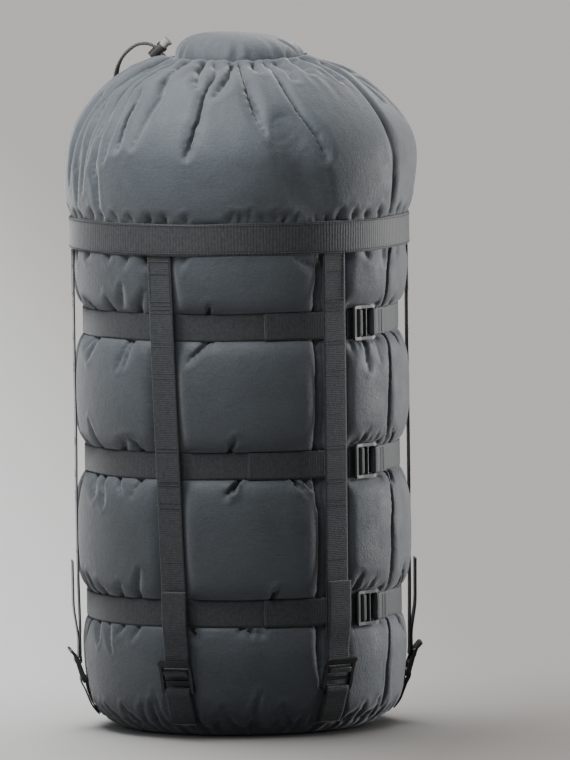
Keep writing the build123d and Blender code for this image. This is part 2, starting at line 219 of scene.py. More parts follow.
def webbing(name, centre, across, mat, width=WEB_W, thick=WEB_T, closed=False, u0=0.0):
    """A flat woven strap along centre points; across gives its width direction at each."""
    c = np.array([tuple(p) for p in centre], float)
    w = np.array([tuple(v) for v in across], float)
    t = np.roll(c, -1, 0) - np.roll(c, 1, 0)
    if not closed:
        t[0], t[-1] = c[1] - c[0], c[-1] - c[-2]
    t /= np.linalg.norm(t, axis=1)[:, None]
    w -= t * (w * t).sum(1)[:, None]
    w /= np.linalg.norm(w, axis=1)[:, None]
    n = np.cross(w, t)
    rows = [c[:, None] + w[:, None] * s[0] * width + n[:, None] * s[1] * thick
            for s in map(np.array, SECTION)]
    grid = np.concatenate(rows, 1)                       # (points, section, 3)
    m, k = grid.shape[:2]
    run = np.concatenate([[0.0], np.cumsum(np.linalg.norm(np.diff(c, axis=0), axis=1))]) * MM + u0
    faces, ii, jj = grid_faces(m, k, True)
    v = np.array([s[0] * width for s in SECTION] + [SECTION[0][0] * width]) * MM
    uvs = [np.stack([run[ii], v[jj]], -1).reshape(-1, 2)]
    faces = faces.tolist()
    if closed:
        last = (m - 1) * k
        for j in range(k):
            j2 = (j + 1) % k
            faces.append([last + j, last + j2, j2, j])
            end = run[-1] + np.linalg.norm(c[0] - c[-1]) * MM
            uvs.append(np.array([[run[-1], v[j]], [run[-1], v[j + 1]], [end, v[j + 1]], [end, v[j]]]))
    else:
        for ring, flip in ((range(k), True), (range((m - 1) * k, m * k), False)):
            ring = list(ring)
            faces.append(ring[::-1] if flip else ring)
            x = run[0] if flip else run[-1]
            uv = np.array([[x, SECTION[j][0] * width * MM] for j in range(k)])
            uvs.append(uv[::-1] if flip else uv)
    return mesh_object(name, grid.reshape(-1, 3), faces, mat, np.concatenate(uvs))


def capsules(name, pairs, radius, mat):
    """Many short rounded threads in one mesh, each from one point to another (mm)."""
    verts, faces = [], []
    ring = [(math.cos(a), math.sin(a)) for a in np.arange(6) * math.pi / 3]
    for p, q in pairs:
        p, q = Vector(p), Vector(q)
        d = (q - p).normalized()
        x = d.orthogonal().normalized()
        y = d.cross(x)
        base = len(verts)
        for centre, r in ((p - d * radius * 0.6, 0.35), (p, 1.0), (q, 1.0), (q + d * radius * 0.6, 0.35)):
            verts += [tuple(centre + (x * a + y * b) * radius * r) for a, b in ring]
        for low in (base, base + 6, base + 12):
            for j in range(6):
                j2 = (j + 1) % 6
                faces.append([low + j, low + j2, low + 6 + j2, low + 6 + j])
        faces.append([base + j for j in range(5, -1, -1)])
        faces.append([base + 18 + j for j in range(6)])
    return mesh_object(name, verts, faces, mat)


def stitch_line(a, b, pitch=3.2, fill=0.72):
    """Thread lengths along a straight line."""
    a, b = Vector(a), Vector(b)
    n = max(1, round((b - a).length / pitch))
    return [(a.lerp(b, (i + (1 - fill) / 2) / n), a.lerp(b, (i + (1 + fill) / 2) / n)) for i in range(n)]


# ---- materials
class Net:
    """A small helper for building a node material."""

    def __init__(self, name, color, rough, **sockets):
        self.mat = bpy.data.materials.new(name)
        self.mat.use_nodes = True
        self.tree = self.mat.node_tree
        self.bsdf = next(n for n in self.tree.nodes if n.type == "BSDF_PRINCIPLED")
        self.bsdf.inputs["Base Color"].default_value = (*color, 1.0)
        self.bsdf.inputs["Roughness"].default_value = rough
        for key, value in sockets.items():
            self.bsdf.inputs[key.replace("_", " ")].default_value = value

    def node(self, kind, ins=(), **props):
        n = self.tree.nodes.new(kind)
        for key, value in props.items():
            setattr(n, key, value)
        for key, value in dict(ins).items():
            if hasattr(value, "links"):
                self.tree.links.new(value, n.inputs[key])
            else:
                n.inputs[key].default_value = value
        return n

    def math(self, op, a, b=0.0, c=0.0):
        return self.node("ShaderNodeMath", {0: a, 1: b, 2: c}, operation=op).outputs[0]

    def noise(self, vector, scale, detail=3.0, rough=0.5):
        n = self.node("ShaderNodeTexNoise", {"Vector": vector, "Scale": scale, "Detail": detail,
                                             "Roughness": rough})
        return n.outputs["Fac"]

    def add(self, *weighted):
        """Sum of (socket, weight) pairs."""
        total = self.math("MULTIPLY", *weighted[0])
        for value, weight in weighted[1:]:
            total = self.math("ADD", total, self.math("MULTIPLY", value, weight))
        return total

    def wave(self, value, length):
        """A sine along a coordinate, with its length in metres."""
        return self.math("SINE", self.math("MULTIPLY", value, 2 * math.pi / length))

    def mix(self, fac, a, b):
        n = self.node("ShaderNodeMix", data_type="RGBA")
        for i, value in ((0, fac), (6, a), (7, b)):
            if hasattr(value, "links"):
                self.tree.links.new(value, n.inputs[i])
            else:
                n.inputs[i].default_value = value if i == 0 else (*value, 1.0)
        return n.outputs[2]

    def ramp(self, fac, lo, hi, to_lo=0.0, to_hi=1.0, **props):
        return self.node("ShaderNodeMapRange", {"Value": fac, "From Min": lo, "From Max": hi,
                                                "To Min": to_lo, "To Max": to_hi}, **props).outputs[0]

    def bump(self, height, strength, distance, normal=None):
        ins = {"Height": height, "Strength": strength, "Distance": distance}
        if normal is not None:
            ins["Normal"] = normal
        return self.node("ShaderNodeBump", ins).outputs[0]

    def out(self, socket, value):
        self.tree.links.new(value, self.bsdf.inputs[socket])

    def coords(self, kind="Object"):
        return self.node("ShaderNodeTexCoord").outputs[kind]


def cloth_material(name, dark, light, crinkle=1.0):
    """Coated nylon pack cloth: fine plain weave, faint crinkles and a slightly uneven dye."""
    m = Net(name, light, 0.6, Specular_IOR_Level=0.34, Sheen_Weight=0.3, Sheen_Roughness=0.45)
    obj, uv = m.coords(), m.coords("UV")
    sep = m.node("ShaderNodeSeparateXYZ", {0: uv})
    weave = m.math("MULTIPLY", m.wave(sep.outputs[0], 0.0009), m.wave(sep.outputs[1], 0.0009))
    broad = m.noise(obj, 11.0, 4.0, 0.55)
    speck = m.noise(obj, 520.0, 3.0, 0.75)
    patch = m.noise(obj, 42.0, 4.0, 0.6)
    stretched = m.node("ShaderNodeMapping", {"Vector": uv, "Scale": (60.0, 900.0, 1.0)}).outputs[0]
    slub = m.noise(stretched, 1.0, 2.0)
    tone = m.add((broad, 0.34), (speck, 0.34), (patch, 0.18), (slub, 0.14))
    m.out("Base Color", m.mix(m.ramp(tone, 0.38, 0.62), dark, light))
    m.out("Roughness", m.ramp(patch, 0.3, 0.7, 0.54, 0.74))
    n = m.bump(m.noise(obj, 34.0, 5.0, 0.6), 0.20 * crinkle, 0.0035)
    n = m.bump(m.noise(obj, 130.0, 4.0, 0.65), 0.30 * crinkle, 0.0012, n)
    n = m.bump(speck, 0.45, 0.0006, n)
    n = m.bump(weave, 0.25, 0.00015, n)
    m.out("Normal", n)
    return m.mat


def webbing_material(name, dark, light, pitch=0.0017):
    """Ribbed nylon webbing: ribs across the strap, a plain selvedge and mottled yarns."""
    m = Net(name, light, 0.62, Specular_IOR_Level=0.35, Sheen_Weight=0.3, Sheen_Roughness=0.4)
    uv, obj = m.coords("UV"), m.coords()
    sep = m.node("ShaderNodeSeparateXYZ", {0: uv})
    wob = m.math("MULTIPLY", m.math("SUBTRACT", m.noise(obj, 120.0, 2.0), 0.5), 0.0012)
    rib = m.wave(m.math("ADD", sep.outputs[0], wob), pitch)
    yarn = m.wave(sep.outputs[1], 0.0011)
    height = m.add((rib, 0.5), (m.math("MULTIPLY", rib, yarn), 0.3))
    selvedge = m.ramp(m.math("ABSOLUTE", sep.outputs[1]), 0.0108, 0.0114)
    mott = m.noise(obj, 330.0, 4.0, 0.7)
    grain = m.noise(obj, 700.0, 3.0, 0.8)
    # the rib term is painted shade: it makes the rib crests lighter and the hollows between ribs darker; the
    # mottle and grain are the yarns' own uneven colour
    tone = m.add((m.math("ADD", rib, 1.0), 0.05), (mott, 0.52), (grain, 0.35))
    col = m.mix(m.ramp(tone, 0.34, 0.70), dark, light)
    col = m.mix(m.math("MULTIPLY", selvedge, 0.45), col, dark)
    m.out("Base Color", col)
    n = m.bump(height, 0.34, 0.0004)
    n = m.bump(mott, 0.40, 0.0006, n)
    n = m.bump(grain, 0.30, 0.0003, n)
    m.out("Normal", n)
    return m.mat


def plastic_material(name, color, rough, grain=0.2):
    """Moulded nylon: dark gloss with a fine mould grain, scuffed lighter here and there."""
    m = Net(name, color, rough, Specular_IOR_Level=0.40)
    obj = m.coords()
    scuff = m.noise(obj, 90.0, 5.0, 0.6)
    worn = tuple(min(1.0, c * 1.7 + 0.01) for c in color)
    m.out("Base Color", m.mix(m.ramp(scuff, 0.52, 0.75), color, worn))
    m.out("Roughness", m.ramp(scuff, 0.0, 1.0, rough - 0.08, rough + 0.16))
    m.out("Normal", m.bump(m.noise(obj, 1400.0, 2.0), grain, 0.0002))
    return m.mat


def cord_material(name, dark, light, twist=0.0042):
    """Braided cord: two crossing families of strands over the round."""
    m = Net(name, light, 0.6, Specular_IOR_Level=0.35, Sheen_Weight=0.25, Sheen_Roughness=0.4)
    uv = m.coords("UV")
    sep = m.node("ShaderNodeSeparateXYZ", {0: uv})
    a = m.math("MULTIPLY", sep.outputs[0], 2 * math.pi / twist)
    b = m.math("MULTIPLY", sep.outputs[1], 2 * math.pi * 4)
    s1 = m.math("SINE", m.math("ADD", a, b))
    s2 = m.math("SINE", m.math("SUBTRACT", a, b))
    h = m.math("MAXIMUM", s1, s2)
    # painted shade: the colour is darkened in the hollows between the strands, where h is low, and lightened
    # on the strand crests
    m.out("Base Color", m.mix(m.ramp(h, -0.4, 0.9), dark, light))
    m.out("Normal", m.bump(h, 0.7, 0.0005))
    return m.mat


def thread_material(name, color):
    """Sewing thread, a little uneven in its dye."""
    m = Net(name, color, 0.55, Specular_IOR_Level=0.4)
    n = m.noise(m.coords(), 900.0, 2.0)
    m.out("Base Color", m.mix(m.ramp(n, 0.35, 0.7), tuple(c * 0.7 for c in color), color))
    return m.mat


def metal_material(name, color):
    """Drawn spring wire with faint marks."""
    m = Net(name, color, 0.3, Metallic=1.0)
    n = m.noise(m.coords(), 700.0, 2.0)
    m.out("Normal", m.bump(n, 0.15, 0.0002))
    return m.mat


MAT_CLOTH = cloth_material("pack_cloth", (0.026, 0.032, 0.038), (0.053, 0.063, 0.074))
MAT_WEB = webbing_material("webbing", (0.010, 0.012, 0.014), (0.044, 0.049, 0.054))
MAT_BAND = webbing_material("band_webbing", (0.009, 0.010, 0.012), (0.044, 0.048, 0.052), 0.0031)
MAT_LOCK = plastic_material("lock_plastic", (0.010, 0.010, 0.011), 0.42)
MAT_BARREL = plastic_material("barrel_plastic", (0.020, 0.019, 0.019), 0.35)
MAT_BUTTON = plastic_material("button_plastic", (0.21, 0.20, 0.20), 0.35)
MAT_CORD = cord_material("drawcord", (0.012, 0.011, 0.011), (0.055, 0.050, 0.048))
MAT_THREAD = thread_material("thread", (0.040, 0.044, 0.046))
MAT_STEEL = metal_material("spring_steel", (0.6, 0.6, 0.6))
MAT_LOAD = cloth_material("liner_cloth", (0.06, 0.07, 0.055), (0.09, 0.10, 0.08), 1.4)

# ---- drawcord ends (mm)
FRONT_END = [(-65.71, 20.82, 634.0), (-70.01, 22.24, 639.3), (-74.97, 23.91, 644.7),
             (-80.94, 26.10, 647.8), (-87.50, 28.41, 648.5), (-93.83, 30.88, 646.8),
             (-99.30, 33.99, 642.8), (-105.91, 39.48, 636.0), (-111.58, 50.30, 624.4),
             (-113.10, 71.07, 608.0), (-112.13, 102.55, 588.4), (-112.63, 126.17, 556.0),
             (-113.12, 130.57, 518.0), (-111.67, 130.67, 478.0), (-111.81, 129.07, 440.0),
             (-109.37, 129.98, 404.0)]
BACK_END = [(-65.39, 24.23, 634.0), (-69.69, 25.65, 639.3), (-74.65, 27.32, 644.7),
            (-80.63, 29.51, 647.8), (-87.19, 31.82, 648.5), (-93.49, 34.39, 646.9),
            (-98.95, 37.59, 643.2), (-105.49, 44.30, 636.4), (-109.93, 57.10, 624.0),
            (-109.86, 79.58, 606.0), (-106.85, 111.04, 587.4), (-105.45, 133.03, 554.0),
            (-104.56, 138.16, 516.0), (-103.99, 137.01, 476.0), (-102.73, 137.16, 438.0),
            (-105.47, 133.85, 404.0)]
CORD_D = 3.0


def spline_points(name, route):
    """Points along a smooth NURBS curve whose control points are the route (mm)."""
    cu = bpy.data.curves.new(name, "CURVE")
    cu.dimensions = "3D"
    cu.resolution_u = 10
    sp = cu.splines.new("NURBS")
    sp.points.add(len(route) - 1)
    for p, q in zip(sp.points, route):
        p.co = (*q, 1.0)
    sp.order_u = 3
    sp.use_endpoint_u = True
    ob = link(bpy.data.objects.new(name, cu))
    me = bpy.data.meshes.new_from_object(ob)
    pts = [v.co.copy() for v in me.vertices]
    bpy.data.objects.remove(ob)
    bpy.data.curves.remove(cu)
    bpy.data.meshes.remove(me)
    return pts


def tube(name, pts, radius, mat, sides=14):
    """A round tube along points, with UVs: length in metres, share of the way round."""
    pts = [Vector(p) for p in pts]
    tang = [(pts[min(i + 1, len(pts) - 1)] - pts[max(i - 1, 0)]).normalized() for i in range(len(pts))]
    x = tang[0].orthogonal().normalized()
    rows, run, length = [], [], 0.0
    for i, (p, t) in enumerate(zip(pts, tang)):
        x = (x - t * x.dot(t)).normalized()
        y = t.cross(x)
        rows.append([tuple(p + (x * math.cos(a) + y * math.sin(a)) * radius)
                     for a in (2 * math.pi * k / sides for k in range(sides))])
        length += (p - pts[i - 1]).length if i else 0.0
        run.append(length * MM)
    grid = np.array(rows)
    faces, ii, jj = grid_faces(len(pts), sides, True)
    uvs = list(np.stack([np.array(run)[ii], jj / sides], -1).reshape(-1, 2))
    faces = faces.tolist()
    faces.append(list(range(sides))[::-1])
    faces.append([(len(pts) - 1) * sides + k for k in range(sides)])
    uvs += [(0.0, k / sides) for k in range(sides)] + [(run[-1], k / sides) for k in range(sides)]
    return mesh_object(name, grid.reshape(-1, 3), faces, mat, np.array(uvs))


cord_lines = {}
for key, route in (("front", FRONT_END), ("back", BACK_END)):
    pts = spline_points(f"route_{key}", route)
    piece = tube(f"drawcord_{key}", pts, CORD_D / 2, MAT_CORD)
    declare(piece, "sack", "cord", f"drawcord_end_{key}")
    cord_lines[key] = (piece, pts)

# overhand knot: one doubled turn, with two short tips
foot = (cord_lines["front"][1][-1] + cord_lines["back"][1][-1]) * 0.5
knot_pts = []
for i in range(61):
    t = 2 * math.pi * i / 60 * 0.92 + 0.25
    knot_pts.append(foot + Vector((3.1 * (math.sin(t) + 1.15 * math.sin(2 * t)) * 0.62,
                                   3.1 * (math.cos(t) - 1.15 * math.cos(2 * t)) * 0.62,
                                   -5.4 - 2.5 * math.sin(3 * t))))
knot = tube("drawcord_knot_turns", knot_pts, 1.75, MAT_CORD, 12)
declare(knot, "sack", "cord", "drawcord_knot")
for k, dx in enumerate((-1.7, 1.7)):
    hang = ((dx * 0.6, 0, -6), (dx, 0.5, -12), (dx * 1.5, dx * 0.5, -19.0 + k * 1.5))
    tip = tube(f"drawcord_tip_{k}", rounded([foot + Vector(p) for p in hang], [8.0]), 1.5, MAT_CORD, 12)
    declare(tip, "sack", "cord")
for key, (piece, pts) in cord_lines.items():
    tuple(Vector(pts[0]) * MM)
    [tuple(Vector(p) * MM) for p in pts]

# plunger spring inside the cord lock's barrel, drawn at one length; the real spring shortens as the button is
# pressed
LOCK_AZ, LOCK_TILT = math.radians(-109.0), math.radians(46.0)
LOCK_OUT = Vector((math.sin(LOCK_AZ), -math.cos(LOCK_AZ), 0.0))
LOCK_SIDE = Vector((math.cos(LOCK_AZ), math.sin(LOCK_AZ), 0.0))
LOCK_UP = Vector((0.0, 0.0, 1.0))
LOCK_CROSS = LOCK_OUT * math.cos(LOCK_TILT) + LOCK_UP * math.sin(LOCK_TILT)
LOCK_AXIS = LOCK_UP * math.cos(LOCK_TILT) - LOCK_OUT * math.sin(LOCK_TILT)


def in_lock(x, y, z):
    """A point given in the upright barrel's own frame (mm)."""
    return LOCK_OUT * 76.6 + LOCK_UP * 642.1 + LOCK_CROSS * x + LOCK_SIDE * y + LOCK_AXIS * z


coil = [in_lock(2.7 * math.cos(t), 2.7 * math.sin(t), -7.9 + 3.9 * t / (5.5 * math.pi))
        for t in np.linspace(0.0, 5.5 * math.pi, 100)]
spring = tube("cord_lock_coil", coil, 0.2, MAT_STEEL, 8)
declare(spring, "cord_lock", "spring_steel", "cord_lock_spring")
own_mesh(spring)

# ---- the cloth of the sack (mm)
# One grid of cloth from the bottom seam to the inside of the mouth: rows go up, columns round.
PROFILE = [(136.5, 13.5), (142.9, 20.0), (146.6, 28.0), (149.2, 38.0), (150.8, 50.0),
           (151.9, 62.0), (152.5, 75.0), (152.3, 86.0), (151.2, 96.0), (149.4, 103.0)]
for zc, low, high in ((119.0, False, True), (258.0, True, True), (388.5, True, False)):
    steep = [(149.3, 15.0), (151.8, 19.0), (153.8, 26.0), (155.4, 36.0), (156.6, 50.0)]
    PROFILE += [(r, zc - d) for r, d in reversed(steep)] if low else []
    PROFILE += [(WAIST_R, zc - 12.5), (147.9, zc), (WAIST_R, zc + 12.5)]
    PROFILE += [(r, zc + d) for r, d in steep]
    PROFILE += [(156.9, zc + 68.0)] if high else []
PROFILE += [(157.0, 455.0), (157.6, BAND_Z), (159.8, 488.0), (162.8, 504.0), (164.2, 522.0),
            (164.2, 538.0), (162.4, 552.0), (157.5, 566.0), (150.0, 579.0), (139.5, 592.0),
            (129.0, 602.5), (117.0, 612.5), (104.0, 621.0), (92.0, 627.0), (82.0, 630.8),
            (74.0, 634.2), (69.0, 636.2), (65.0, 636.4), (61.6, 634.0), (60.2, 629.0), (60.0, 623.0)]


def profile_rows(step):
    """The profile as evenly spaced rows: radius, height and distance along it."""
    p = np.array(PROFILE)
    ext = np.vstack([2 * p[0] - p[1], p, 2 * p[-1] - p[-2]])
    fine = []
    for a, b, c, d in zip(ext, ext[1:], ext[2:], ext[3:]):
        t = np.linspace(0, 1, 12, endpoint=False)[:, None]
        fine.append(0.5 * (2 * b + (c - a) * t + (2 * a - 5 * b + 4 * c - d) * t ** 2
                           + (3 * b - a - 3 * c + d) * t ** 3))
    fine = np.vstack(fine + [p[-1:]])
    s = np.concatenate([[0], np.cumsum(np.linalg.norm(np.diff(fine, axis=0), axis=1))])
    rows = np.linspace(0, s[-1], int(round(s[-1] / step)) + 1)
    return np.interp(rows, s, fine[:, 0]), np.interp(rows, s, fine[:, 1]), rows


# Creases: two ends as (azimuth, height), half width, depth, and how much the sides stand up.
CREASES = []
MM_PER_DEGREE, CREASE_STEP, LEAST_HALF = 2.4, 6.0, 1.9


def crease(points, half, deep, lip=0.3, fade_in=False):
    """A chain of creases through (azimuth, height) points; half and deep may vary along it.
    It fades towards its last point, and with fade_in from its first one too."""
    n = len(points) - 1
    half = list(half if isinstance(half, (list, tuple)) else [half] * n)
    deep = list(deep if isinstance(deep, (list, tuple)) else [deep] * n)
    pts = np.array(points, float)
    leg = np.hypot(*(np.diff(pts, axis=0).T * [[MM_PER_DEGREE], [1.0]]))
    run = np.concatenate([[0], np.cumsum(leg)])
    m = max(2, int(run[-1] / CREASE_STEP))
    at = np.linspace(0, run[-1], m + 1)
    a, z = np.interp(at, run, pts[:, 0]), np.interp(at, run, pts[:, 1])
    mid = 0.5 * (run[1:] + run[:-1])
    h, d = np.interp(at, mid, half), np.interp(at, mid, deep)
    fade = np.clip((run[-1] - at) / min(run[-1], 26.0), 0.0, 1.0) ** 0.6
    if fade_in:
        fade *= np.clip(at / min(run[-1] * 0.4, 18.0), 0.0, 1.0) ** 0.6
    wander = np.cumsum(rng.normal(0, 0.22, m + 1)) if run[-1] > 15.0 else np.zeros(m + 1)
    a = a + (wander - np.linspace(0, wander[-1], m + 1)) * min(1.0, half[0] / 3.5)
    for i in range(m):
        narrow = max(LEAST_HALF, h[i] * (0.72 + 0.28 * fade[i]))
        shallow = d[i] * (0.12 + 0.88 * 0.5 * (fade[i] + fade[i + 1]))
        CREASES.append(((a[i], z[i]), (a[i + 1], z[i + 1]), narrow, shallow, lip))


# the drawn mouth, front
for fold in (
        ([(-18.0, 632.0), (-19.2, 614.0), (-19.0, 586.0), (-21.5, 553.0)],
         [3.4, 3.4, 3.0], [7.0, 11.0, 9.5], 0.45),
        ([(-8.5, 635.0), (-10.0, 622.0), (-12.5, 606.0)], [3.4, 4.0], [9.0, 8.0], 0.4),
        ([(-0.8, 634.0), (1.0, 612.0), (2.6, 596.0), (5.5, 572.0)], [2.6, 3.0, 3.4], [8.0, 8.5, 4.5], 0.5),
        ([(19.9, 634.0), (18.6, 618.0), (19.4, 593.0), (22.5, 572.0), (26.0, 549.0)],
         [3.4, 2.6, 2.8, 3.6], [8.0, 5.5, 7.0, 9.0], 0.5),
        ([(-50.5, 604.0), (-49.5, 558.0)], 3.0, 8.5, 0.45, True),
        ([(-41.5, 616.0), (-39.0, 604.0), (-42.5, 560.0)], [2.8, 3.0], [3.5, 5.0], 0.5),
        ([(-56.0, 633.0), (-53.5, 624.0)], 3.6, 7.0, 0.4),
        ([(-45.0, 634.0), (-42.0, 626.0)], 3.2, 6.0, 0.4),
        ([(-31.0, 634.5), (-27.0, 624.0), (-24.5, 613.0)], [3.4, 3.4], [8.0, 5.0], 0.5),
        ([(29.0, 634.0), (27.0, 620.0)], 3.8, 8.0, 0.4),
        ([(42.0, 634.0), (38.0, 624.0)], 3.6, 7.0, 0.4),
        ([(53.0, 634.0), (50.0, 616.0)], 3.6, 6.5, 0.4),
        ([(8.5, 634.5), (9.5, 626.0)], 3.2, 6.5, 0.4)):
    crease(*fold)
# long fine folds down the left flank
for a0, z0, a1, z1, d in ((-57.0, 612.0, -55.0, 545.0, 3.2), (-62.0, 600.0, -60.0, 525.0, 3.6),
                          (-66.0, 606.0, -65.5, 540.0, 3.0), (-70.0, 598.0, -68.0, 515.0, 3.6),
                          (-76.0, 604.0, -74.0, 530.0, 3.2), (-82.0, 600.0, -80.0, 520.0, 3.4),
                          (-59.0, 540.0, -58.0, 492.0, 2.0), (-72.0, 560.0, -72.5, 500.0, 2.0)):
    crease([(a0, z0), ((a0 + a1) / 2 + rng.uniform(-0.8, 0.8), (z0 + z1) / 2), (a1, z1)], 2.8,
           [d, d * 0.8], 0.5, True)
# broad hollows
crease([(12.0, 575.0), (18.0, 528.0), (24.0, 496.0)], 14.0, 5.0, 0.0, True)
crease([(-109.0, 634.0), (-109.0, 606.0)], 11.0, 3.5, 0.0)
# side seams, right and left, deepest beside the horizontal straps
for az in (58.0, 238.0):
    crease([(az + 2.0, 628.0), (az, 600.0), (az - 1.0, 560.0), (az, 520.0), (az, 489.0)], 2.2,
           [2.6, 2.4, 2.6, 3.4], 0.5)
    crease([(az + 1.0, 456.0), (az - 0.5, 435.0), (az + 1.5, 402.0)], 2.8, [6.5, 7.5], 0.4)
    for top, low in ((375.0, 271.0), (245.0, 132.0), (105.0, 16.0)):
        mid = 0.5 * (top + low)
        crease([(az + 2.0, top), (az + 0.5, top - 38.0), (az, mid), (az + 0.5, low + 30.0), (az + 1.5, low)],
               2.6, [6.5, 4.2, 3.2, 5.0], 0.4)
# the drawn mouth, round the back
for az in np.arange(70.0, 300.0, 12.0):
    a = az + rng.uniform(-3.5, 3.5)
    if 252.0 < a < 276.0:
        continue
    low = rng.uniform(548, 600)
    lean = rng.uniform(-3, 3)
    crease([(a, 634.5), (a + lean * 0.5, 0.5 * (low + 626)), (a + lean, low)], [3.4, 3.0],
           [rng.uniform(6, 9), rng.uniform(3.5, 8)], 0.45)
    a += rng.uniform(4.5, 7.5)
    crease([(a, 634.5), (a + rng.uniform(-1.5, 1.5), rng.uniform(612, 624))], 3.2, rng.uniform(5, 8), 0.4)
# holes and tucks where the cloth is caught beside the straps, front
crease([(-15.0, 374.5), (-17.5, 372.0), (-22.5, 357.0)], [2.6, 2.4], [6.0, 6.0], 0.5)
for a0, z0, a1, z1, half, deep, lip in (
        (-15.6, 402.5, -14.6, 407.0, 2.6, 7.0, 0.6), (-8.4, 273.0, -6.6, 281.0, 2.6, 7.0, 0.6),
        (-5.5, 243.5, -9.5, 234.0, 2.8, 8.0, 0.7), (13.4, 244.0, 17.0, 236.0, 2.6, 6.5, 0.8),
        (19.0, 243.0, 21.0, 234.0, 2.4, 5.0, 0.6), (5.4, 133.0, 7.6, 139.0, 2.8, 7.5, 0.7),
        (-5.0, 104.5, 2.0, 101.0, 2.4, 5.5, 0.7), (-23.5, 104.0, -21.5, 97.0, 2.6, 6.5, 0.4),
        (-47.0, 374.0, -48.0, 352.0, 2.4, 4.0, 0.4), (-44.0, 244.0, -46.0, 230.0, 2.6, 4.5, 0.4),
        (-50.0, 410.0, -49.0, 426.0, 2.6, 3.0, 0.4), (-46.0, 104.0, -48.0, 94.0, 2.4, 3.6, 0.4),
        (46.0, 372.0, 45.0, 346.0, 2.8, 4.2, 0.4), (52.5, 371.0, 52.0, 352.0, 2.2, 2.6, 0.4),
        (38.5, 371.0, 39.0, 358.0, 2.4, 3.4, 0.4), (43.0, 276.0, 46.0, 288.0, 2.4, 3.8, 0.5),
        (50.0, 276.5, 55.0, 286.0, 2.2, 3.4, 0.5), (39.0, 138.0, 41.0, 150.0, 2.6, 5.0, 0.4),
        (47.0, 138.5, 49.0, 147.0, 2.4, 3.6, 0.4), (24.5, 440.0, 15.0, 452.0, 2.4, 3.4, 0.6)):
    crease([(a0, z0), (a1, z1)], half, deep, lip)
# the same round the sides and back
for zc in RING_Z.values():
    for az in np.arange(68.0, 320.0, 9.5):
        for up in (1.0, -1.0):
            if rng.random() < 0.3:
                continue
            a = az + rng.uniform(-4, 4)
            z0 = zc + up * 14.0
            crease([(a, z0), (a + rng.uniform(-4.5, 4.5), z0 + up * rng.uniform(5, 26))],
                   rng.uniform(2.2, 3.0), rng.uniform(2.0, 6.5), 0.5)
for az in np.arange(-180.0, 180.0, 5.5):                    # gathers at the bottom seam
    a = az + rng.uniform(-2, 2)
    tall = rng.uniform(24, 46) if rng.random() < 0.35 else rng.uniform(19, 28)
    crease([(a, 12.0), (a + rng.uniform(-3.5, 3.5), tall)], 2.8, rng.uniform(1.6, 4.4), 0.5)
for az in [*np.arange(-8.0, 33.0, 3.9), *np.arange(37.0, 345.0, 7.0)]:    # just above the band
    a = az + rng.uniform(-0.9, 0.9)
    crease([(a, 487.0), (a + rng.uniform(-1.2, 1.2), 489.5 + rng.uniform(3, 9))], 2.0,
           rng.uniform(2.2, 4.4), 0.6)
for az in np.arange(-176.0, 180.0, 10.0):                   # and below it
    if -26.0 < az < 22.0:
        continue
    a = az + rng.uniform(-4, 4)
    crease([(a, 457.0), (a + rng.uniform(-2.5, 2.5), 455.0 - rng.uniform(3, 14))], 2.2,
           rng.uniform(1.5, 3.6), 0.5)
# the groove down the left side of the right-hand front strap
for z_low, z_high in ((266.0, 380.0), (128.0, 250.0), (60.0, 110.0), (398.0, 456.0)):
    crease([(strap_az("front_right", z) - 6.0, z) for z in (z_low, (z_low + z_high) / 2, z_high)],
           4.2, [6.5, 6.5], 0.0, True)


def crease_shape(az, row_r, row_s, z_to_s):
    """How far the creases and the ridges beside them move the cloth, for every grid point."""
    depth = np.zeros((len(row_s), len(az)))
    ridge = np.zeros_like(depth)
    for (a0, z0), (a1, z1), half, deep, lip in CREASES:
        s0, s1 = z_to_s(z0), z_to_s(z1)
        if abs(s1 - s0) < 0.5:
            s1 = s0 + 0.5
        lo, hi = min(s0, s1) - 5 * half, max(s0, s1) + 5 * half
        rows = np.where((row_s > lo) & (row_s < hi))[0]
        t = np.clip((row_s[rows] - s0) / (s1 - s0), 0.0, 1.0)
        over = row_s[rows] - (s0 + (s1 - s0) * t)
        d_az = apart(az[None, :], (a0 + (a1 - a0) * t)[:, None])
        d = np.hypot(np.radians(d_az) * row_r[rows, None], over[:, None] * 0.7) / half
        depth[rows] = np.maximum(depth[rows], deep * np.exp(-d ** 2))
        if lip:
            ridge[rows] = np.maximum(ridge[rows], deep * lip * np.exp(-((d - 2.3) / 0.9) ** 2))
    return depth, ridge


def outer_limit(az, r, z):
    """Largest radius the webbing leaves for the cloth at a place."""
    lim = np.full(r.shape, 400.0)
    at_lock = np.abs(apart(az, 46.5)) * (math.pi / 180 * 150.0)
    for zc in RING_Z.values():
        lim = np.minimum(lim, 148.15 + 2.4 * np.maximum(0.0, np.abs(z - zc) - 12.8))
        lim = np.minimum(lim, 148.6 + 2.4 * np.maximum(0.0, np.abs(z - zc) - 17.2)
                         + 2.4 * np.maximum(0.0, at_lock - 22.0))
    near = np.full(r.shape, 400.0)
    for side in VERTICAL_AZ:
        near = np.minimum(near, np.abs(apart(az, strap_az(side, z))))
    off = np.radians(near) * r
    flat = np.interp(z, [13, 20, 30, 40, 46, 52, 66, 90, 150, 500],
                     [136.8, 142.6, 147.6, 150.0, 150.3, 150.8, 153.6, 155.6, 157.45, 157.45])
    strap = flat + 2.2 * np.maximum(0.0, off - np.where(z < 90.0, 17.0, 13.2))
    lim = np.minimum(lim, np.where(z < 487.0, strap, 400.0))
    band = 159.6 + 2.2 * np.maximum(0.0, np.abs(z - BAND_Z) - 15.4)
    return np.minimum(lim, band)


def pull(a, b, rest, least, soft):
    """Move point pairs so that no edge is longer than rest or shorter than least of it."""
    d = b - a
    length = np.sqrt((d * d).sum(-1)) + 1e-9
    fix = np.where(length > rest, length - rest,
                   np.where(length < rest * least, (length - rest * least) * soft, 0.0))
    d *= (0.5 * fix / length)[..., None]
    a += d
    b -= d


